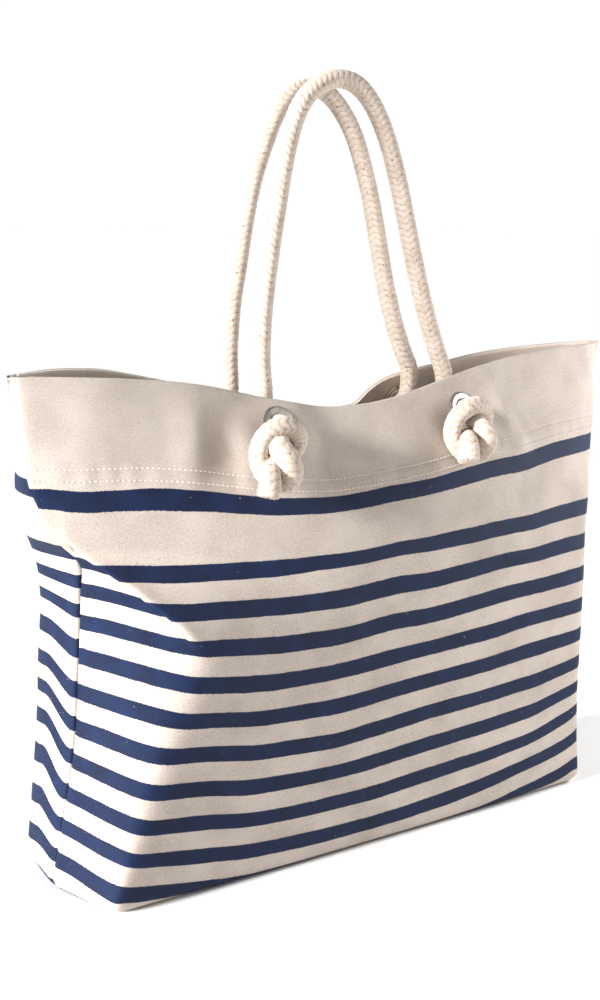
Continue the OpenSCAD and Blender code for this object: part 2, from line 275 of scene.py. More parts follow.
def rope_material():
    """Braided cotton: pale strands, painted brown shade in the grooves between them, with dark flecks."""
    n = Nodes("braided_cotton")
    place = n.add("ShaderNodeTexCoord").outputs["Object"]
    groove = n.add("ShaderNodeAttribute", attribute_name="groove").outputs["Fac"]
    fibre = n.noise(place, 1500.0, 3.0)
    cloudy = n.noise(place, 90.0, 3.0)
    tone = n.math("ADD", n.math("MULTIPLY", fibre, 0.6), n.math("MULTIPLY", cloudy, 0.4))
    base = n.mix(n.ramp(tone, 0.35, 0.65), (0.45, 0.365, 0.295, 1.0), (0.62, 0.53, 0.455, 1.0))
    # Painted shade: the grooves between the strands are painted brown, more strongly in patches
    patches = n.ramp(n.noise(place, 160.0, 2.0), 0.30, 0.75, 0.35, 0.95)
    groove_shade = n.math("MULTIPLY", n.ramp(groove, 0.3, 0.9), patches)
    colour = n.mix(groove_shade, base, (0.36, 0.235, 0.15, 1.0))
    flecks = n.math("MULTIPLY", n.ramp(n.noise(place, 420.0, 1.0), 0.66, 0.70),
                    n.ramp(groove, 0.15, 0.8, 0.25, 0.9))
    colour = n.mix(flecks, colour, (0.13, 0.085, 0.06, 1.0))
    return n.finish(colour, fibre, 0.0005, 0.6, Roughness=0.9, Sheen_Weight=0.35, Sheen_Roughness=0.45)


def shaded(colour, share):
    return tuple(share * c for c in colour[:3]) + (1.0,)


def metal_material(name, tint, rough):
    n = Nodes(name)
    place = n.add("ShaderNodeTexCoord").outputs["Object"]
    worn = n.noise(place, 260.0, 4.0)
    colour = n.mix(n.ramp(worn, 0.35, 0.7), shaded(tint, 0.78), tint)
    return n.finish(colour, n.noise(place, 900.0, 2.0), 0.0001, 0.04, Metallic=1.0,
                    Roughness=n.ramp(worn, 0.3, 0.7, rough, rough + 0.12))


def thread_material():
    n = Nodes("thread")
    place = n.add("ShaderNodeTexCoord").outputs["Object"]
    twist = n.noise(place, 2400.0, 2.0)
    colour = n.mix(n.ramp(twist, 0.35, 0.65), (0.66, 0.60, 0.53, 1.0), (0.80, 0.75, 0.68, 1.0))
    return n.finish(colour, twist, 0.0002, 0.5, Roughness=0.7, Sheen_Weight=0.3)


def tape_material():
    n = Nodes("binding_tape")
    uv = n.add("ShaderNodeUVMap", uv_map="print").outputs[0]
    split = n.add("ShaderNodeSeparateXYZ", {"Vector": uv})
    rib = n.math("SINE", n.math("MULTIPLY", split.outputs["Y"], 2 * math.pi / 0.0011))
    tone = n.noise(uv, 180.0, 3.0)
    colour = n.mix(n.ramp(tone, 0.35, 0.65), (0.66, 0.57, 0.47, 1.0), (0.80, 0.72, 0.62, 1.0))
    return n.finish(colour, n.math("ADD", n.math("MULTIPLY", rib, 0.5), tone), 0.0003, 0.5,
                    Roughness=0.9, Sheen_Weight=0.2)


# ---------------------------------------------------------------- ropes
HINGES = {j["name"]: np.array(j["pos_m"]) / MM for j in frame["joints"]}
ROPE_D = 13.0
ROPE_INSIDE = 9.0                # how far inside the hinge line a handle's legs stand
LEG_DROP, TURN_DROP = 12.0, 21.0  # a leg's foot, and its turn towards the eyelet, below the hinge line
FRONT_LEAN, BACK_LEAN = math.radians(-3.0), math.radians(6.0)
# Routes of the standing handles: x, and height above the hinge line
FRONT_ROUTE = [(-88, 0), (-90, 20), (-89, 47), (-86, 72), (-81, 102), (-76, 127), (-71, 152),
               (-64, 177), (-55, 195), (-43, 206), (-30, 212), (-17, 213), (-4, 209), (8, 199), (18, 185),
               (27, 167), (36, 142), (45, 112), (54, 82), (64, 52), (75, 25), (83, 8), (85, 0)]
BACK_ROUTE = [(-88, 0), (-88, 20), (-84, 52), (-77, 82), (-70, 112), (-61, 142), (-50, 167),
              (-40, 186), (-28, 200), (-14, 207), (0, 208), (13, 202), (25, 190), (35, 174), (43, 152),
              (50, 127), (56, 97), (62, 67), (70, 38), (79, 15), (84, 5), (85, 0)]
# An overhand knot beside its eyelet, from the hole to the cut end: x along the wall, y up it, z out of it
WIDE_KNOT = [(0, 0, -8), (0, 0, -1), (-1, -2, 5), (-6, -8, 9), (-13, -14, 14), (-18, -20, 20), (-16, -29, 23),
             (-11, -36, 20), (-9, -42, 13), (-14, -43, 8), (-22, -39, 8), (-28, -30, 9), (-29, -19, 12),
             (-24, -10, 17), (-14, -6, 21), (-3, -8, 19), (4, -13, 14), (4, -19, 9), (-3, -23, 8),
             (-12, -26, 8), (-20, -29, 11), (-26, -35, 16), (-30, -43, 19), (-33, -52, 17)]
CLOSE_KNOT = [(0, 0, -8), (0, 0, -1), (0, -2, 5), (-3, -8, 10), (-6, -14, 15), (-5, -22, 20), (-4, -30, 20),
              (-5, -36, 14), (-9, -38, 8), (-16, -36, 8), (-23, -30, 8), (-28, -20, 10), (-25, -10, 15),
              (-16, -4, 20), (-4, -3, 20), (5, -8, 16), (7, -15, 10), (2, -20, 8), (-6, -23, 8),
              (-14, -24, 11), (-20, -27, 17), (-24, -32, 20), (-26, -38, 20), (-28, -43, 20)]


def eyelet_frame(node):
    """(centre on the canvas, x, y, z) of an eyelet, z pointing out of the bag, y up the wall."""
    flange_height = 1.8
    points = np.array([v.co for v in frame["nodes"][node].data.vertices], float) / MM
    middle = (points.min(0) + points.max(0)) / 2
    _, axes = np.linalg.eigh(np.cov((points - middle).T))
    spread = [np.ptp(points @ axes[:, k]) for k in range(3)]
    z = axes[:, int(np.argmin(spread))]
    z = z if z[1] * middle[1] > 0 else -z
    x = unit(np.cross([0.0, 0.0, 1.0], z))
    y = np.cross(z, x)
    centre = middle + (((points - middle) @ z).max() - flange_height) * z
    return centre, x, y, z


EYELETS = {place: eyelet_frame(place + "_eyelet")
           for place in ("front_left", "front_right", "back_left", "back_right")}


def spline(points, per_span=14):
    """Catmull-Rom curve through the points."""
    p = np.array(points, float)
    p = np.vstack([2 * p[0] - p[1], p, 2 * p[-1] - p[-2]])
    t = np.linspace(0, 1, per_span, endpoint=False)[:, None]
    out = [0.5 * (2 * b + (c - a) * t + (2 * a - 5 * b + 4 * c - d) * t * t
                  + (3 * b - a - 3 * c + d) * t ** 3)
           for a, b, c, d in zip(p, p[1:], p[2:], p[3:])]
    return np.vstack(out + [p[-2][None]])


def even_steps(path, step):
    """The path with points an even step apart."""
    run = np.concatenate([[0], np.cumsum(np.linalg.norm(np.diff(path, axis=0), axis=1))])
    at = np.linspace(0, run[-1], int(round(run[-1] / step)) + 1)
    return np.stack([np.interp(at, run, path[:, k]) for k in range(3)], axis=1)


def relax(path, spread, step):
    """Rounds the path over a spread in millimetres, keeping its ends."""
    size = int(math.ceil(3 * spread / step))
    kernel = np.exp(-0.5 * (np.arange(-size, size + 1) * step / spread) ** 2)
    kernel /= kernel.sum()
    head = 2 * path[0] - path[size:0:-1]
    tail = 2 * path[-1] - path[-2:-size - 2:-1]
    long = np.vstack([head, path, tail])
    return np.stack([np.convolve(long[:, k], kernel, "valid") for k in range(3)], axis=1)


def rope_path(side, route, lean, left_knot, right_knot):
    """One rope from the cut end of its left knot, over the handle, to the cut end of its right knot."""
    hinge = HINGES[side + "_handle_swing"]
    inward = 1.0 if side == "front" else -1.0
    legs = []
    for x, height in route:
        y = ROPE_INSIDE * math.cos(lean) - height * math.sin(lean)
        z = ROPE_INSIDE * math.sin(lean) + height * math.cos(lean)
        legs.append((x, hinge[1] + inward * y, hinge[2] + z))

    def knot(name, shape, leg_x):
        centre, ex, ey, ez = EYELETS[name]
        world = [centre + a * ex + b * ey + c * ez for a, b, c in shape]
        leg_y = hinge[1] + inward * ROPE_INSIDE
        low = (leg_x, leg_y, hinge[2] - LEG_DROP)
        turn = (leg_x, leg_y - inward * 2.5, hinge[2] - TURN_DROP)
        return world[::-1] + [turn, low]

    start = knot(side + "_left", left_knot, legs[0][0])
    end = knot(side + "_right", right_knot, legs[-1][0])[::-1]
    step = 0.6
    path = even_steps(spline(start + legs + end), step)
    # The braid opens out where it bulges forward in a knot, and towards its cut ends
    swell = np.zeros(len(path))
    for at, share, reach in ((start[-9], 0.26, 26.0), (end[8], 0.22, 24.0),
                             (start[0], 0.14, 22.0), (end[-1], 0.22, 24.0)):
        near = int(np.argmin(np.linalg.norm(path - at, axis=1)))
        swell = np.maximum(swell, share * bump(np.arange(len(path)) * step, near * step, reach))
    return relax(path, 2.2, step), 1.0 + swell


def braid(name, path, swell, diameter, material, columns=8, around=56, pitch=4.8, relief=0.65):
    """A tube along path whose surface is a braid: columns of slanting strands that meet in a herringbone."""
    step = 0.7
    path = even_steps(path, step)
    fat = np.interp(np.linspace(0, 1, len(path)), np.linspace(0, 1, len(swell)), swell)
    tangent = unit(np.gradient(path, axis=0))
    normal = np.zeros_like(path)
    normal[0] = unit(np.cross(tangent[0], [0.3, 0.2, 1.0]))
    for i in range(1, len(path)):
        carried = normal[i - 1] - (normal[i - 1] @ tangent[i]) * tangent[i]
        normal[i] = carried / np.linalg.norm(carried)
    side = np.cross(tangent, normal)
    along = np.arange(len(path)) * step
    angle = np.linspace(0, 2 * math.pi, around, endpoint=False)
    column = angle / (2 * math.pi) * columns
    inside = column - np.floor(column)
    slant = np.where(np.floor(column) % 2 < 1, 1.0, -1.0) * (inside - 0.5) * 0.62
    phase = along[:, None] / pitch + slant[None, :]
    strand = np.abs(np.sin(math.pi * phase)) ** 0.55
    crown = np.sqrt(np.clip(1.0 - (2 * inside - 1) ** 2, 0, 1)) ** 0.7
    height = strand * (0.55 + 0.45 * crown[None, :])
    rng = np.random.default_rng(7)
    uneven = np.convolve(rng.normal(0, 1, len(path) + 60), np.hanning(61) / 12.0, "valid")[:len(path)]
    yarn = np.abs(np.sin(2 * math.pi * phase)) ** 0.8
    height = height * (0.74 + 0.26 * yarn)
    radius = (diameter / 2) * fat[:, None] + 0.35 - relief * (1.0 - height) + 0.10 * uneven[:, None]
    rings = (path[:, None, :] + radius[..., None] * (np.cos(angle)[None, :, None] * normal[:, None, :]
             + np.sin(angle)[None, :, None] * side[:, None, :]))
    points = rings.reshape(-1, 3)
    groove = (1.0 - height).ravel()
    faces = grid_faces(len(path), around, closed=True)
    # Cut ends: the strands' ends stand a little out of a flat cut
    for ring, outward, flip in ((0, -1.0, False), (len(path) - 1, 1.0, True)):
        last = ring * around
        centre = path[ring]
        for share in (0.72, 0.42, 0.16):
            inner = centre + (rings[ring] - centre) * share
            inner = inner + outward * tangent[ring] * (0.5 + 0.35 * np.sin(angle * 9 + share * 20))[:, None]
            first = len(points)
            points = np.vstack([points, inner])
            groove = np.concatenate([groove, 0.55 + 0.35 * np.sin(angle * 9 + share * 20)])
            for c in range(around):
                d = (c + 1) % around
                quad = (last + c, last + d, first + d, first + c)
                faces.append(quad if flip else quad[::-1])
            last = first
        cap = tuple(range(last, last + around))
        faces.append(cap if flip else cap[::-1])
    faces = [f[::-1] for f in faces]
    return make_mesh(name, points, faces, values={"groove": groove}, materials=[material])


def make_ropes():
    material = rope_material()
    shapes = {"front": (FRONT_ROUTE, FRONT_LEAN, WIDE_KNOT, CLOSE_KNOT),
              "back": (BACK_ROUTE, BACK_LEAN, CLOSE_KNOT, CLOSE_KNOT)}
    for side, (route, lean, left_knot, right_knot) in shapes.items():
        path, swell = rope_path(side, route, lean, left_knot, right_knot)
        rope = braid(side + "_rope", path, swell, ROPE_D, material)
        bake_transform(rope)
        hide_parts(side + "_handle_rope", side + "_left_knot", side + "_right_knot")


# ---------------------------------------------------------------- the canvas surface
BASE_FOLD = 10.0                 # radius of the fold from wall to base
WALL = 340.0                     # from the rim down to that fold
RIM = 350.0                      # the height that the tables below are written for
CANVAS = 1.2
HEM = 65.0                       # depth of the doubled band
FACING_GAP = 0.15                # between a panel and the facing behind it
TAPE_WIDTH = 10.0
STITCH_DEPTHS = (55.0, 63.0)
SEAM_PULL = (1.6, 0.7, 0.15)     # how far the seam's edge, and the columns next to it, are drawn in

# Depth of mid front and mid back out from the middle, by depth below the rim
MIDDLE = [(0, 31.4), (9, 34.5), (20, 39.0), (40, 47.5), (65, 57.2), (90, 63.5), (112, 66.0), (131, 67.0),
          (200, 67.0), (280, 66.0), (340, 64.0)]

# Each wing, by height above the floor:
# seam: distance of the side seam from the middle
# corner: where the flat face ends and the side begins, as (x, y); above the crease it is only a soft bend
# round: how far the corner is rounded, in columns of the grid
# bulge: how far the side bows out between corner and seam
# tuck: how far the upper wing overhangs the side where it is folded over it
LEFT_FRONT = {
    "seam": [(10, 241), (25, 238), (48, 234), (70, 230), (94, 226.5), (118, 224.5), (165, 223),
             (205, 222.5), (219, 221.5), (228, 226), (237, 236), (251, 248), (266, 256), (278, 262),
             (310, 270), (350, 279)],
    "corner_x": [(10, 229), (50, 216), (100, 198), (150, 174), (170, 167), (184, 175), (196, 185), (205, 195),
                 (216, 205), (227, 217), (237, 230), (250, 238), (266, 236), (310, 230), (350, 222)],
    "corner_y": [(10, 62), (50, 64), (100, 65), (150, 65.5), (170, 64), (184, 61.5), (196, 57.5), (205, 50),
                 (216, 39), (227, 21), (237, 8), (250, 9), (266, 14), (310, 17), (350, 18.3)],
    "round": [(10, 1.6), (60, 3.2), (150, 4.2), (172, 2.6), (182, 1.2), (235, 0.8), (245, 2.0),
              (260, 4.0), (350, 5.0)],
    "bulge": [(10, 1.5), (60, 6), (120, 8), (170, 4), (200, -2), (225, -1), (240, 0), (350, 0)],
    "tuck": [(10, 0), (168, 0), (186, 2.2), (205, 4.2), (222, 5.0), (234, 3.0), (241, 0), (350, 0)],
}
RIGHT_WING = {
    "seam": [(10, 236), (40, 232), (80, 227), (130, 224), (205, 223), (228, 231), (251, 250),
             (266, 259), (282, 265), (310, 272), (350, 281)],
    "corner_x": [(10, 224), (50, 217), (100, 213), (155, 212), (200, 216), (232, 231), (255, 245), (282, 256),
                 (310, 260), (350, 246)],
    "corner_y": [(10, 61), (50, 63), (100, 64.5), (155, 65), (200, 60), (232, 47), (255, 33), (282, 22),
                 (310, 17), (350, 12.5)],
    "round": [(10, 1.6), (60, 2.6), (150, 3.4), (230, 4.0), (270, 5.0), (350, 5.0)],
    "bulge": [(10, 1.5), (60, 4), (150, 5), (230, 4), (290, 1), (350, 0)],
    "tuck": [(10, 0), (350, 0)],
}
# Behind, the left wing isn't folded in: the back panel runs up to it full and round
BACK_LEFT = {
    "seam": LEFT_FRONT["seam"],
    "corner_x": [(10, 223), (50, 219), (100, 216), (150, 215), (182, 214), (205, 217), (226, 225), (245, 233),
                 (266, 240), (290, 245), (315, 248), (350, 246)],
    "corner_y": [(10, 62), (50, 64), (100, 65), (182, 65), (205, 64), (226, 62), (245, 59), (266, 53),
                 (290, 41), (315, 27), (350, 12.5)],
    "round": [(10, 1.6), (60, 2.6), (150, 3.4), (230, 4.0), (270, 4.5), (350, 4.0)],
    "bulge": [(10, 1.5), (60, 4), (150, 6), (230, 6), (290, 3), (350, 0)],
    "tuck": [(10, 0), (350, 0)],
}
# Columns of the grid from mid front to the corner, and from the corner to the seam
FACE_COLS = 84
SIDE_COLS = 34

# Height of the back's rim, by x
BACK_RIM = [(-285, 352), (-240, 353), (-205, 351), (-160, 343), (-110, 332), (-60, 321), (-20, 313),
            (15, 309), (38, 310.5), (55, 321), (75, 331), (90, 335), (124, 341), (178, 348), (240, 352),
            (285, 355)]
# Lower down the dip spreads out
BACK_LOWER = [(-285, 353), (-205, 350), (-110, 335), (-40, 321), (20, 315), (80, 324), (150, 340),
              (220, 350), (285, 354)]


def rim_height(x, side):
    """The rim sags between the handles, most on its left in front and on its right behind."""
    x = np.asarray(x, float)
    if side == "front":
        width = np.where(x < -24, 110.0, 125.0)
        return 351.0 + 3.0 * smooth(x / 220.0) - 29.0 * np.exp(-((x + 24.0) / width) ** 2)
    return curve_through(x, BACK_RIM)


def wall_depths():
    """Depths of the wall's rows below the rim: fine in the band, where the stitching puckers it."""
    return np.concatenate([np.arange(0, 82, 2.0), np.linspace(82, WALL, 74)])


def half_wall(keys, depths):
    """Points [row, column, xy] of half a wall, x and y both positive, from mid front to the side seam."""
    nominal = RIM - depths
    value = {k: curve_through(nominal, v) for k, v in keys.items()}
    middle = curve_through(depths, MIDDLE)
    face = np.linspace(0, 1, FACE_COLS + 1)
    side = np.linspace(0, 1, SIDE_COLS + 1)[1:]
    x = np.concatenate([face * value["corner_x"][:, None], value["corner_x"][:, None]
                        + side * (value["seam"] - value["corner_x"])[:, None]], axis=1)
    y = np.concatenate([middle[:, None] + face ** 2 * (value["corner_y"] - middle)[:, None],
                        value["corner_y"][:, None] * (1 - side)], axis=1)
    # The side bows out along its own normal
    chord = np.stack([value["seam"] - value["corner_x"], -value["corner_y"]], axis=1)
    out = unit(np.stack([-chord[:, 1], chord[:, 0]], axis=1))
    bow = (np.sin(math.pi * side) ** 0.8)[None, :] * value["bulge"][:, None]
    x[:, FACE_COLS + 1:] += bow * out[:, :1]
    y[:, FACE_COLS + 1:] += bow * out[:, 1:]
    points = np.stack([x, y], axis=2)
    return round_corners(points, value["round"]), value


def round_corners(points, spread):
    """Blurs each row over spread columns, mirrored at mid front and turned over at the seam."""
    size = 16
    mirrored = points[:, size:0:-1] * np.array([-1.0, 1.0])
    beyond = points[:, -2:-size - 2:-1] * np.array([1.0, -1.0])
    long = np.concatenate([mirrored, points, beyond], axis=1)
    out = np.empty_like(points)
    for r in range(len(points)):
        kernel = np.exp(-0.5 * (np.arange(-size, size + 1) / max(spread[r], 0.3)) ** 2)
        kernel /= kernel.sum()
        for k in range(2):
            out[r, :, k] = np.convolve(long[r, :, k], kernel, "valid")
    out[:, -1] = points[:, -1]
    return out


def add_tuck(points, tuck):
    """Folds the cloth at the corner: the face overhangs, turns under, and the side starts behind it."""
    step = unit(np.gradient(points, axis=1))
    corner = FACE_COLS
    along = step[:, corner - 3]
    out = np.stack([-along[:, 1], along[:, 0]], axis=1)
    out = np.where(out[:, 1:] > 0, out, -out)
    # column offset from the corner: (forward along the face, out of it), as shares of the tuck
    shape = {-4: (0.15, 0.05), -3: (0.45, 0.15), -2: (0.85, 0.25), -1: (1.15, 0.15), 0: (1.2, -0.15),
             1: (0.8, -0.42), 2: (-0.6, -0.62), 3: (-1.4, -0.9), 4: (-0.4, -1.1), 5: (0.0, -1.05),
             6: (0.05, -0.95), 7: (0.05, -0.85), 8: (0.0, -0.72), 10: (0.0, -0.5), 14: (0.0, -0.2)}
    offsets = sorted(shape)
    for k in range(-4, 15):
        forward = np.interp(k, offsets, [shape[o][0] for o in offsets])
        outward = np.interp(k, offsets, [shape[o][1] for o in offsets])
        move = tuck[:, None] * (forward * along + outward * out)
        points[:, corner + k] += move
    return points


def panel_grid(side):
    """Depths of the wall's rows, and its outer surface as points[row, column]."""
    depths = wall_depths()
    sign = -1.0 if side == "front" else 1.0
    halves = {}
    for hand in (-1, 1):
        keys = RIGHT_WING if hand > 0 else LEFT_FRONT if side == "front" else BACK_LEFT
        flat, value = half_wall(keys, depths)
        halves[hand] = add_tuck(flat, value["tuck"])
    plan = np.concatenate([halves[-1][:, :0:-1] * [-1, 1], halves[1]], axis=1)
    x, y = plan[..., 0], plan[..., 1]
    rim = rim_height(x[0], side)[None, :]
    if side == "back":
        spread = smooth(depths / 150.0)[:, None]
        rim = rim + spread * (curve_through(x[0], BACK_LOWER)[None, :] - rim)
    z = BASE_FOLD + (rim - BASE_FOLD) * (1 - depths[:, None] / WALL)
    points = np.stack([x, sign * y, z], axis=2)
    return depths, points


def hem_slip(x, side):
    """How far the band's stitched edge hangs below an even one, in millimetres."""
    if side == "back":
        return 0.0 * x
    return 0.8 * curve_through(x, list(zip(SLIP_X, SLIP[70])))


# Folds in the band: height, lean, x, half width, depth below the rim, half length.
# One hangs from each eyelet, and shallow valleys run down the middle of the face.
FOLDS = {"front": [(-3.0, -0.12, -128, 26, 42, 38), (2.0, -0.10, -152, 24, 34, 52),
                   (-2.2, 0.25, -62, 20, 44, 44), (1.6, 0.10, 20, 60, 30, 60),
                   (-2.2, 0.45, 98, 15, 44, 34), (1.8, 0.50, 112, 14, 46, 34),
                   (-1.2, 0.60, 122, 12, 50, 30), (-2.0, -0.20, 190, 40, 60, 60)],
         "back": [(-2.5, -0.15, 120, 30, 30, 60), (2.0, 0.0, 30, 90, 40, 60)]}


def soft_folds(points, depths, side):
    """Small uneven swellings and dents of standing canvas, as a shift along the surface's normal."""
    x, z = points[..., 0], points[..., 2]
    d = np.broadcast_to(depths[:, None], x.shape)
    shift = np.zeros_like(x)
    for height, lean, at, half, low, reach in FOLDS[side]:
        shift += height * bump(x - lean * d, at, half) * bump(d, low, reach)
    # Lower down the wall is hollow in the middle
    if side == "front":
        shift += -3.0 * bump(x + 0.30 * (z - 240), -30.0, 150.0) * bump(z, 150, 90)
        shift += 2.0 * bump(x, -60.0, 90.0) * bump(z, 60, 60)
    else:
        shift += -3.0 * bump(x, 20.0, 150.0) * bump(z, 150, 90)
    shift += 0.5 * np.sin(x / 19.0 + 1.7 * np.sin(z / 41.0)) * np.sin(z / 27.0 + 0.8) * bump(z, 170, 175)
    # The two rows of stitches pull the band in, and pucker it between them
    d = d - hem_slip(x, side)
    for depth in STITCH_DEPTHS:
        shift += -0.55 * np.exp(-((d - depth) / 1.6) ** 2)
    pucker = np.sin(x / 2.9 + 2.0 * np.sin(x / 17.0)) * np.exp(-((d - 59.0) / 8.0) ** 2)
    shift += 0.28 * pucker
    shift += 0.35 * smooth((HEM + 1.0 - d) / 2.5)
    # Near the rim the edge waves slightly
    shift += 0.9 * np.sin(x / 31.0 + 0.6) * bump(d, 0, 30)
    return shift


def grid_normals(points, sign):
    """Unit normals of a grid of points, out of the bag."""
    across = np.gradient(points, axis=1)
    down = np.gradient(points, axis=0)
    return unit(np.cross(down, across)) * (-sign)


def from_eyelet(points, name):
    """Each point's height off the eyelet's plane, its distance from the eyelet's axis, and that axis."""
    centre, _, _, z = EYELETS[name]
    reach = points - centre
    height = reach @ z
    return height, np.linalg.norm(reach - height[..., None] * z, axis=-1), z


def flatten_at_eyelets(points, side):
    """Presses the canvas flat onto the plane of each eyelet."""
    for hand in ("left", "right"):
        height, distance, z = from_eyelet(points, side + "_" + hand)
        weight = smooth((44.0 - distance) / 28.0) * (np.abs(height) < 25)
        points -= (weight * height)[..., None] * z
    return points


# How far the print hangs below an even one on the front, in millimetres: rows by depth, columns by x
SLIP_X = (-225, -170, -110, -60, 0, 45, 100, 150, 195, 215)
SLIP = {70: (5, 2, 2, -2, -6, -3, 0, 4, 3, 3),
        118: (12, 11, 4, -4, -8, -3, 3, 7, 6, 6),
        145: (2, 9, 6, 1, -3, 1, 4, 7, 5, 5),
        180: (-2, 7, 10, 6, 1, 4, 6, 6, 5, 4),
        215: (-2, 5, 10, 7, 4, 5, 7, 5, 4, 2),
        250: (-3, 1, 8, 8, 6, 5, 7, 6, 1, -2),
        290: (-8, -1, 7, 7, 7, 6, 6, 4, -7, -14),
        320: (-13, -3, 5, 7, 8, 7, 4, -2, -9, -15),
        345: (-14, -5, 4, 7, 8, 7, 4, -4, -11, -17)}
# The same behind, near the left seam, by depth
BACK_LEFT_SLIP = [(70, 0), (118, 4), (145, -2), (170, -8), (195, -5), (220, -2), (245, -4), (270, -7),
                  (295, -8), (320, -12), (345, -18)]
# Behind on the right, the print meets the front's at the seam
BACK_RIGHT_SLIP = [(d, row[-1]) for d, row in SLIP.items()]


def print_slip(x, depth):
    """The front's print isn't even: its slip at x and depth, read smoothly from the rows above."""
    rows = [curve_through(x, list(zip(SLIP_X, row))) for row in SLIP.values()]
    shares = curve_through(depth, [(d, k) for k, d in enumerate(SLIP)])
    low = np.clip(np.floor(shares).astype(int), 0, len(rows) - 2)
    part = shares - low
    table = np.array(rows)
    index = np.indices(x.shape)
    return (1 - part) * table[(low, *index)] + part * table[(low + 1, *index)]


def print_depth(points, depths, side):
    """Where each point lies down the printed cloth, in millimetres below the rim."""
    x, y, z = points[..., 0], np.abs(points[..., 1]), points[..., 2]
    depth = np.broadcast_to(depths[:, None], x.shape).copy()
    # The cloth of the sides stands higher than that of the faces
    cols = x.shape[1]
    column = np.abs(np.arange(cols) - cols // 2)[None, :]
    on_side = smooth((column - FACE_COLS) / float(SIDE_COLS) + 0.15)
    depth += on_side * 8.0 * smooth(depth / WALL)
    if side == "front":
        depth -= print_slip(x, depth)
    else:
        # The print rises round the back left corner
        rise = smooth(np.where(column > FACE_COLS, y / 38.0, 1.0)) * smooth((column - FACE_COLS + 70) / 76.0)
        rise = rise * bump(z, 110.0, 125.0) * (x < 0)
        depth += 20.0 * rise
        near_seam = smooth((column - FACE_COLS + 60) / 62.0)
        depth -= near_seam * np.where(x < 0, curve_through(depth, BACK_LEFT_SLIP),
                                      curve_through(depth, BACK_RIGHT_SLIP))
    return depth


FOLD_ROWS = 5


def build_panel(side, outer_material, inner_material):
    """One panel: wall, fold and half of the base. Also gives the wall's points and their girth."""
    sign = -1.0 if side == "front" else 1.0
    depths, wall = panel_grid(side)
    normals = grid_normals(wall, sign)
    wall = wall + soft_folds(wall, depths, side)[..., None] * normals
    wall[:, 0, 1] = wall[:, -1, 1] = 0.0
    wall = flatten_at_eyelets(wall, side)
    # The side seams are drawn in, so that the two panels meet in a groove
    cols = wall.shape[1]
    for hand, edge in ((-1, 0), (1, cols - 1)):
        for k, pull in enumerate(SEAM_PULL):
            wall[:, edge - hand * k, 0] -= hand * pull
    depth_print = print_depth(wall, depths, side)
    girth = np.concatenate([np.zeros((len(depths), 1)),
                            np.cumsum(np.linalg.norm(np.diff(wall, axis=1), axis=2), axis=1)], axis=1)
    girth -= girth[:, cols // 2][:, None]
    # Rows around the fold
    plan = wall[-1, :, :2]
    half = np.abs(plan).max(axis=0)
    rows, prints = [wall], [depth_print]
    for k in range(1, FOLD_ROWS + 1):
        a = math.radians(90.0 * k / FOLD_ROWS)
        ring = np.column_stack([plan * (1 - BASE_FOLD * (1 - math.cos(a)) / half),
                                np.full(cols, BASE_FOLD * (1 - math.sin(a)) + 0.05)])
        rows.append(ring[None])
        prints.append(depth_print[-1:] + BASE_FOLD * a)
    wall = np.concatenate(rows)
    depth_print = np.concatenate(prints)
    girth = np.concatenate([girth] + [girth[-1:]] * FOLD_ROWS)
    wall_rows = len(wall)
    # The base: each row scales the fold's line towards the base seam
    corner = cols // 2 - FACE_COLS
    far = cols - 1 - corner
    bottom = wall[-1]
    base_points, base_uv = [], []
    inner_cols = np.arange(corner + 1, far)
    start = bottom[inner_cols]
    t = (inner_cols - corner) / float(far - corner)
    for j in range(1, corner + 1):
        left, right = bottom[corner - j], bottom[far + j]
        share_y = (left[1] + right[1]) / (bottom[corner][1] + bottom[far][1])
        share_y = min(share_y, 1.0 - 0.02 * j)      # each row stays inside the one before
        row = start.copy()
        row[:, 0] += (1 - t) * (left[0] - bottom[corner][0]) + t * (right[0] - bottom[far][0])
        row[:, 1] = start[:, 1] * share_y
        base_points.append(row)
        reach = np.abs(start[:, 1]) - np.abs(row[:, 1])
        base_uv.append(np.column_stack([row[:, 0], depth_print[-1, inner_cols] + reach]))
    points = np.concatenate([wall.reshape(-1, 3)] + base_points)
    uv = np.concatenate([np.column_stack([girth.ravel(), depth_print.ravel()])] + base_uv) * MM

    def wall_id(r, c):
        return r * cols + c

    def base_id(j, c):
        if j == 0:
            return wall_id(wall_rows - 1, c)
        if c == corner:
            return wall_id(wall_rows - 1, corner - j)
        if c == far:
            return wall_id(wall_rows - 1, far + j)
        return wall_rows * cols + (j - 1) * len(inner_cols) + c - corner - 1

    faces = grid_faces(wall_rows, cols)
    for j in range(corner):
        for c in range(corner, far):
            faces.append((base_id(j, c), base_id(j, c + 1), base_id(j + 1, c + 1), base_id(j + 1, c)))
    faces = open_holes(points, faces, side)
    if side == "front":
        faces = [f[::-1] for f in faces]
    panel = make_mesh(side + "_canvas", points, faces, uv, materials=[outer_material, inner_material])
    thicken(panel, CANVAS)
    keep_to_side(panel, sign, 0.03)
    return panel, wall, girth


def keep_to_side(piece, sign, gap):
    """Keeps a panel's piece on its own side of the seams."""
    for vertex in piece.data.vertices:
        if vertex.co.y * sign < gap * MM:
            vertex.co.y = sign * gap * MM


def open_holes(points, faces, side):
    """Leaves out the faces behind each eyelet's bore."""
    hole = 8.4
    middles = points[np.array(faces)].mean(axis=1)
    keep = np.ones(len(faces), bool)
    for hand in ("left", "right"):
        height, distance, _ = from_eyelet(middles, side + "_" + hand)
        keep &= ~((distance < hole) & (np.abs(height) < 12))
    return [f for f, k in zip(faces, keep) if k]


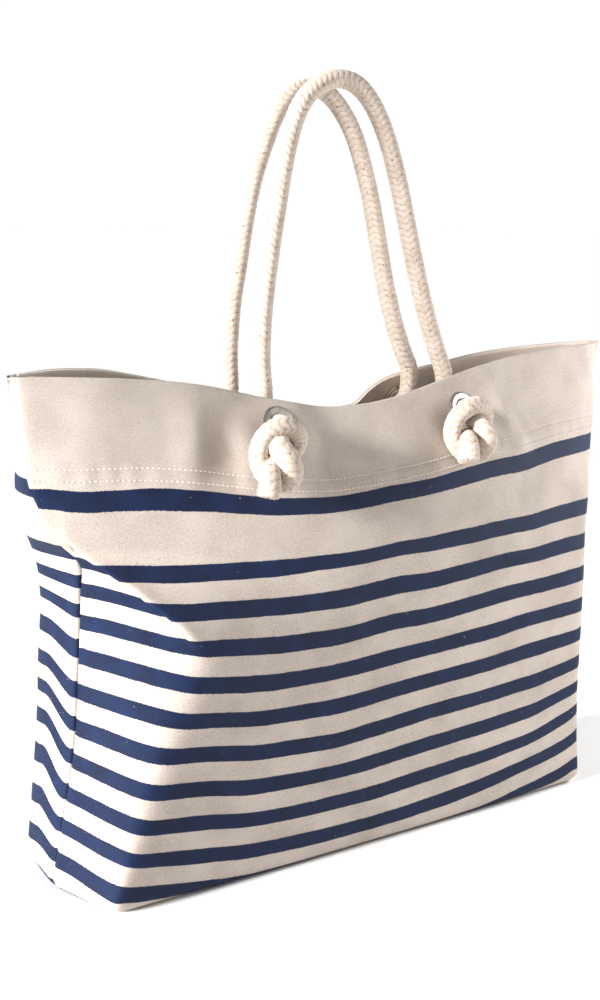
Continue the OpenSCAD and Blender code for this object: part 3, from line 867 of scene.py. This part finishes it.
def thicken(piece, thickness):
    """Gives a sheet its thickness inwards; its inner side takes the second material."""
    solid = piece.modifiers.new("thickness", "SOLIDIFY")
    solid.thickness = thickness * MM
    solid.offset = -1.0
    solid.material_offset = 1 if len(piece.data.materials) > 1 else 0
    solid.material_offset_rim = 0
    bpy.context.view_layer.update()
    applied = bpy.data.meshes.new_from_object(piece.evaluated_get(bpy.context.evaluated_depsgraph_get()))
    piece.modifiers.clear()
    piece.data = applied


def make_facing(side, wall, girth, material):
    """The doubled band: a strip of plain canvas inside the rim."""
    sign = -1.0 if side == "front" else 1.0
    depths = wall_depths()
    count = int(np.searchsorted(depths, HEM)) + 1
    ends = 9      # columns left free beside the seams
    strip = wall[:count]
    inside = (strip - grid_normals(strip, sign) * (CANVAS + FACING_GAP))[:, ends:-ends]
    points = inside.reshape(-1, 3)
    girth = girth[:count, ends:-ends]
    uv = np.column_stack([girth.ravel(), np.repeat(depths[:count], girth.shape[1])]) * MM
    faces = open_holes(points, grid_faces(count, girth.shape[1]), side)
    if side == "front":
        faces = [f[::-1] for f in faces]
    facing = make_mesh(side + "_facing", points, faces, uv, materials=[material])
    thicken(facing, CANVAS)
    keep_to_side(facing, sign, 0.2)
    return facing


def wall_at(wall, depths, depth):
    """The wall's line at a depth below the rim, one depth for each column."""
    r = np.searchsorted(depths, depth)
    t = ((depth - depths[r - 1]) / (depths[r] - depths[r - 1]))[:, None]
    column = np.arange(wall.shape[1])
    return wall[r - 1, column] * (1 - t) + wall[r, column] * t


def stitches(name, lines, material, length=2.7, pitch=3.7, width=0.75):
    """Rows of stitches: short rounded threads laid end to end along each line, sunk at their ends."""
    points, faces = [], []
    # Sections along a stitch: place, thickness and lift, as shares
    shape = [(-0.5, 0.15, -0.35), (-0.36, 0.75, 0.05), (-0.12, 1.0, 0.3), (0.12, 1.0, 0.3),
             (0.36, 0.75, 0.05), (0.5, 0.15, -0.35)]
    around = 6
    for line, outward in lines:
        run = np.concatenate([[0], np.cumsum(np.linalg.norm(np.diff(line, axis=0), axis=1))])
        for s in np.arange(4.0, run[-1] - 4.0, pitch):
            centre = np.array([np.interp(s, run, line[:, k]) for k in range(3)])
            ahead = np.array([np.interp(s + 1.0, run, line[:, k]) for k in range(3)])
            out = unit(np.array([np.interp(s, run, outward[:, k]) for k in range(3)]))
            t = unit(ahead - centre)
            b = np.cross(t, out)
            first = len(points)
            for share, fat, lift in shape:
                for k in range(around):
                    a = 2 * math.pi * k / around
                    points.append(centre + t * share * length + (b * math.cos(a) + out * math.sin(a))
                                  * fat * width / 2 + out * (lift + 0.15))
            for r in range(len(shape) - 1):
                for k in range(around):
                    d = (k + 1) % around
                    faces.append((first + r * around + k, first + r * around + d,
                                  first + (r + 1) * around + d, first + (r + 1) * around + k))
            faces.append(tuple(first + k for k in range(around))[::-1])
            end = first + (len(shape) - 1) * around
            faces.append(tuple(end + k for k in range(around)))
    return make_mesh(name, points, faces, materials=[material])


def tape(name, line, across, width, thickness, material):
    """A folded tape along a line: a flat rounded section, across gives the direction of its width."""
    section = [(-0.5, 0.0), (-0.46, 0.42), (-0.3, 0.5), (0.3, 0.5), (0.46, 0.42), (0.5, 0.0), (0.46, -0.42),
               (0.3, -0.5), (-0.3, -0.5), (-0.46, -0.42)]
    tangent = unit(np.gradient(line, axis=0))
    across = unit(across - (across * tangent).sum(1)[:, None] * tangent)
    thick = np.cross(tangent, across)
    run = np.concatenate([[0], np.cumsum(np.linalg.norm(np.diff(line, axis=0), axis=1))])
    ripple = 0.25 * np.sin(run / 2.1)
    rings = np.stack([line + across * a * width + thick * (b * (thickness + ripple))[:, None]
                      for a, b in section], axis=1)
    count = len(section)
    faces = grid_faces(len(line), count, closed=True)
    faces.append(tuple(range(count))[::-1])
    faces.append(tuple((len(line) - 1) * count + k for k in range(count)))
    uv = np.column_stack([np.tile([a * width for a, _ in section], len(line)), np.repeat(run, count)]) * MM
    return make_mesh(name, rings.reshape(-1, 3), faces, uv, materials=[material])


def make_bag():
    printed = printed_canvas_material()
    # The inside and the facing are painted lighter than the outside: painted light inside the bag
    inside = plain_canvas_material("canvas_inside_painted_light", CANVAS_INSIDE_PAINTED_LIGHT, shaded(CANVAS_INSIDE_PAINTED_LIGHT, 0.8))
    facing_painted_light_material = plain_canvas_material("canvas_facing_painted_light", CANVAS_INSIDE_PAINTED_LIGHT, shaded(CANVAS_INSIDE_PAINTED_LIGHT, 0.82))
    thread = thread_material()
    binding = tape_material()
    depths = wall_depths()
    walls = {}
    for side in ("front", "back"):
        sign = -1.0 if side == "front" else 1.0
        panel, wall, girth = build_panel(side, printed, inside)
        walls[side] = wall
        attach(panel, "bag")
        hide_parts(side + "_panel")
        facing = make_facing(side, wall, girth, facing_painted_light_material)
        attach(facing, "bag")
        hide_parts(side + "_hem_facing")
        lines = []
        for depth in STITCH_DEPTHS:
            rows = wall[:len(depths)]
            normals = grid_normals(rows, sign)
            at = depth + hem_slip(rows[0, :, 0], side)
            line, out = wall_at(rows, depths, at), wall_at(normals, depths, at)
            lines.append((line, out))
            lines.append((line - out * (2 * CANVAS + FACING_GAP), -out))
        rows_of_stitches = stitches(side + "_stitching", lines, thread)
        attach(rows_of_stitches, "bag")
        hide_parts(side + "_hem_stitching")
    make_bindings(walls, binding)


def make_bindings(walls, material):
    """Tapes over the raw edges of the seams, inside the bag."""
    depths = wall_depths()
    below = np.searchsorted(depths, HEM + 3.0)
    for name, edge, hand in (("left", 0, -1), ("right", -1, 1)):
        line = walls["front"][below:len(depths):2, edge].copy()
        line[:, 0] -= hand * 7.5
        line[:, 1] = 0.0
        across = np.tile([1.0, 0.0, 0.0], (len(line), 1))
        piece = tape(name + "_seam_tape", line, across, TAPE_WIDTH, 2.6, material)
        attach(piece, "bag")
        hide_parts(name + "_side_seam_binding")
    floor = CANVAS + 0.9
    for node, name in (("base_seam_binding", "base_seam_tape"),
                       ("left_boxing_seam_binding", "left_boxing_tape"),
                       ("right_boxing_seam_binding", "right_boxing_tape")):
        low, high = (np.array(p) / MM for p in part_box(node))
        middle = (low + high) / 2
        long_axis = 0 if high[0] - low[0] > high[1] - low[1] else 1
        count = int((high - low)[long_axis] / 4)
        line = np.tile(middle, (count, 1))
        line[:, long_axis] = np.linspace(low[long_axis], high[long_axis], count)
        line[:, 2] = floor
        across = np.zeros((count, 3))
        across[:, 1 - long_axis] = 1.0
        piece = tape(name, line, across, TAPE_WIDTH, 1.5, material)
        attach(piece, "bag")
        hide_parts(node)


def finish_metal():
    """The eyelets and washers stay as made, in nickel."""
    nickel = metal_material("nickel", (0.76, 0.71, 0.64, 1.0), 0.32)
    dull = metal_material("nickel_washer", (0.74, 0.71, 0.66, 1.0), 0.28)
    for side in EYELETS:
        for kind, material in (("_eyelet", nickel), ("_washer", dull)):
            node = frame["nodes"][side + kind]
            node.data.materials.clear()
            node.data.materials.append(material)


# ---------------------------------------------------------------- studio
def area_light(name, place, target, size, power):
    data = bpy.data.lights.new(name, "AREA")
    data.shape, data.size, data.size_y = "RECTANGLE", size[0], size[1]
    data.energy = power
    light = bpy.data.objects.new(name, data)
    light.location = place
    light.rotation_euler = (Vector(target) - Vector(place)).to_track_quat("-Z", "Y").to_euler()
    bpy.context.scene.collection.objects.link(light)


def sun_light(name, azimuth, elevation, strength, softness):
    """Light from one direction: azimuth 0 is the front, negative is the bag's left."""
    data = bpy.data.lights.new(name, "SUN")
    data.energy, data.angle = strength, math.radians(softness)
    a, e = math.radians(azimuth), math.radians(elevation)
    light = bpy.data.objects.new(name, data)
    source = Vector((math.sin(a) * math.cos(e), -math.cos(a) * math.cos(e), math.sin(e)))
    light.rotation_euler = source.to_track_quat("Z", "Y").to_euler()
    bpy.context.scene.collection.objects.link(light)


def make_studio():
    scene = bpy.context.scene
    scene.view_settings.view_transform = "Standard"
    sun_light("key", azimuth=-90.0, elevation=16.0, strength=10.0, softness=12.0)
    area_light("fill", (0.62, -0.24, 0.40), (0.22, 0.0, 0.20), (0.40, 0.40), 4.0)
    # White cloth all round at the height of the camera, dimmer overhead
    world = bpy.data.worlds.new("studio")
    world.use_nodes = True
    tree = world.node_tree
    background = tree.nodes["Background"].inputs
    direction, split, fade = (tree.nodes.new("ShaderNode" + kind)
                              for kind in ("TexCoord", "SeparateXYZ", "MapRange"))
    tree.links.new(direction.outputs["Generated"], split.inputs[0])
    tree.links.new(split.outputs["Z"], fade.inputs["Value"])
    for key, value in (("From Min", 0.10), ("From Max", 0.25), ("To Min", 1.05), ("To Max", 0.16)):
        fade.inputs[key].default_value = value
    tree.links.new(fade.outputs[0], background["Strength"])
    background["Color"].default_value = (1.0, 1.0, 1.0, 1.0)
    scene.world = world
    n = Nodes("floor")
    grain = n.noise(n.add("ShaderNodeTexCoord").outputs["Object"], 40.0)
    n.finish(n.mix(grain, (0.955, 0.955, 0.955, 1.0), (0.97, 0.97, 0.97, 1.0)), Roughness=0.9)
    size = 9000.0
    floor = make_mesh("floor", [(-size, -size, 0), (size, -size, 0), (size, size, 0), (-size, size, 0)],
                      [(0, 1, 2, 3)], materials=[n.material], smooth_shading=False)


make_camera()
make_ropes()
make_bag()
finish_metal()
make_studio()
